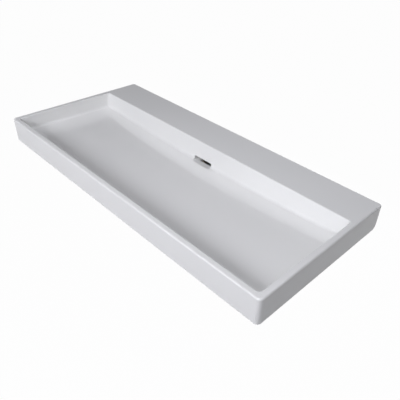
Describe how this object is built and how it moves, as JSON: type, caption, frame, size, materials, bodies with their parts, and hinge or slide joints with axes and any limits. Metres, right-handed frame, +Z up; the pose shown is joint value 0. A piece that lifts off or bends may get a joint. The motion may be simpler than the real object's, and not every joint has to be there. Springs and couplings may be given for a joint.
{
  "type": "washbasin",
  "caption": "Wall-hung rectangular trough washbasin of white glazed fireclay, with a plain rear deck, a dished floor, and a slot outlet that drains to a hidden tray and waste.",
  "frame": {"origin": "middle of the two wall-bolt holes, on the plane of the wall", "axes": "+X along the basin to the right as seen from the front, +Y into the wall, +Z up"},
  "size_m": [1, 0.45, 0.17],
  "materials": {
    "glaze": "white high-gloss glaze on fireclay",
    "tray_plastic": "injection-moulded white polypropylene",
    "tray_rubber": "black EPDM, matt",
    "insert_brass": "turned brass",
    "screw_steel": "stainless steel",
    "waste_chrome": "polished chrome on brass",
    "grid_screw_steel": "polished stainless steel",
    "seal_rubber": "black rubber",
    "washer_plastic": "natural white polyethylene",
    "nut_brass": "cast and turned brass"
  },
  "bodies": {
    "root": {"basin_body": "glaze", "outlet_tray": "tray_plastic", "tray_gasket": "tray_rubber", "tray_inserts": "insert_brass", "tray_screws": "screw_steel", "tray_washers": "screw_steel", "waste_body": "waste_chrome", "waste_grid": "waste_chrome", "grid_screw": "grid_screw_steel", "flange_seal": "seal_rubber", "under_seal": "seal_rubber", "slip_washer": "washer_plastic", "backnut": "nut_brass"}
  },
  "joints": []
}
